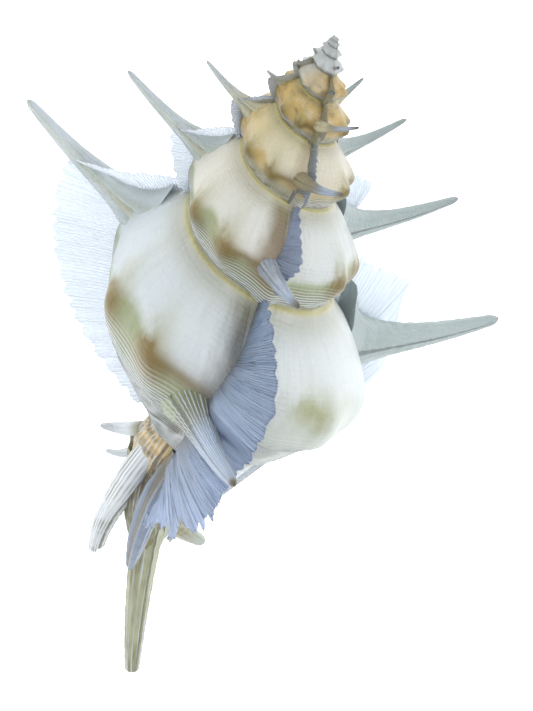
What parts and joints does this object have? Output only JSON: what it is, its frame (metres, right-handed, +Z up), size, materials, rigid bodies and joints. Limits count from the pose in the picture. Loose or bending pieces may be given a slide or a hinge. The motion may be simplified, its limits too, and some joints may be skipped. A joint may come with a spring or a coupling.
{
  "type": "murex sea shell",
  "caption": "Spiral sea shell with long shoulder spines, thin scalloped wings and a long slender canal, lying mouth down on its spine and canal tips.",
  "frame": {"origin": "centre of the shell's footprint, on the surface it lies on", "axes": "+Z up as it lies at rest, +Y along its length towards the apex, +X towards the spine of the lip"},
  "size_m": [0.1104, 0.1538, 0.0832],
  "materials": {
    "shell": "satin"
  },
  "bodies": {
    "root": {"murex_shell": "shell"}
  },
  "joints": []
}
